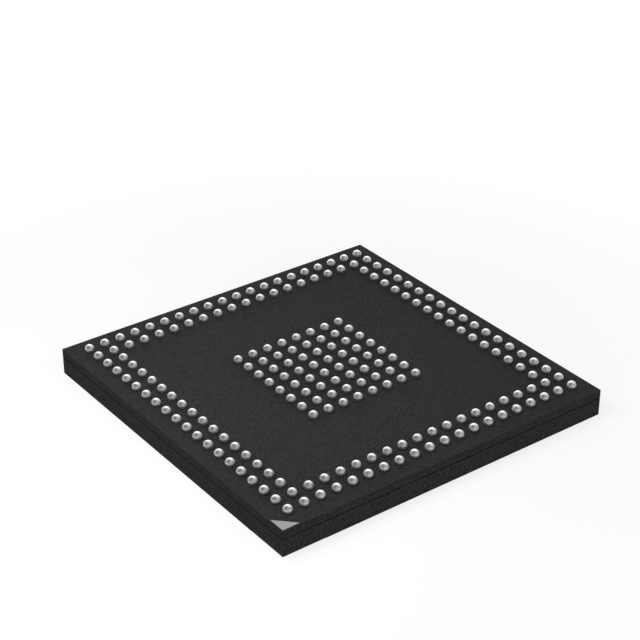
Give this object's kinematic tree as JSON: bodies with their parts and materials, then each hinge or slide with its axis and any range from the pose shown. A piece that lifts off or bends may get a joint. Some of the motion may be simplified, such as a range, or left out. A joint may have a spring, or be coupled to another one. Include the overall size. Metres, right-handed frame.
{
  "type": "ball grid array chip",
  "caption": "Square chip package lying on its moulded face: solder balls in rings round the edge and a square block in the centre, with a small triangle at the A1 corner.",
  "frame": {"origin": "middle of the moulded face, which the chip lies on", "axes": "+Z towards the solder balls, +X along the ball rows towards higher ball numbers, +Y towards later row letters; the A1 corner is at -X -Y"},
  "size_m": [0.017, 0.017, 0.0016],
  "materials": {
    "moulding_compound": "fine matt moulding, near black",
    "laminate": "sawn edge, near black",
    "solder_mask": "smooth satin film, near black",
    "solder": "bright reflowed solder",
    "bare_copper": "tinned copper, satin grey",
    "index_ink": "matt grey ink",
    "buried_copper": "etched copper foil and filled vias",
    "gold_wire": "bright drawn gold wire",
    "silicon": "ground silicon",
    "die_adhesive": "cured adhesive film"
  },
  "bodies": {
    "root": {"a1_corner_mark": "bare_copper", "a1_index_patch": "index_ink", "ball_lands": "buried_copper", "ball_row_a": "solder", "ball_row_b": "solder", "ball_row_c": "solder", "ball_row_d": "solder", "ball_row_e": "solder", "ball_row_f": "solder", "ball_row_g": "solder", "ball_row_h": "solder", "ball_row_j": "solder", "ball_row_k": "solder", "ball_row_l": "solder", "ball_row_m": "solder", "ball_row_n": "solder", "ball_row_p": "solder", "ball_row_r": "solder", "ball_row_t": "solder", "ball_row_u": "solder", "ball_row_v": "solder", "ball_row_w": "solder", "ball_row_y": "solder", "ball_side_mask": "solder_mask", "bond_wires_back": "gold_wire", "bond_wires_front": "gold_wire", "bond_wires_left": "gold_wire", "bond_wires_right": "gold_wire", "centre_copper_plane": "buried_copper", "die_attach_film": "die_adhesive", "die_paddle": "buried_copper", "die_side_mask": "solder_mask", "die_side_traces_back": "buried_copper", "die_side_traces_front": "buried_copper", "die_side_traces_left": "buried_copper", "die_side_traces_right": "buried_copper", "laminate_core": "laminate", "mould_cap": "moulding_compound", "signal_vias": "buried_copper", "silicon_die": "silicon", "thermal_vias": "buried_copper"}
  },
  "joints": []
}
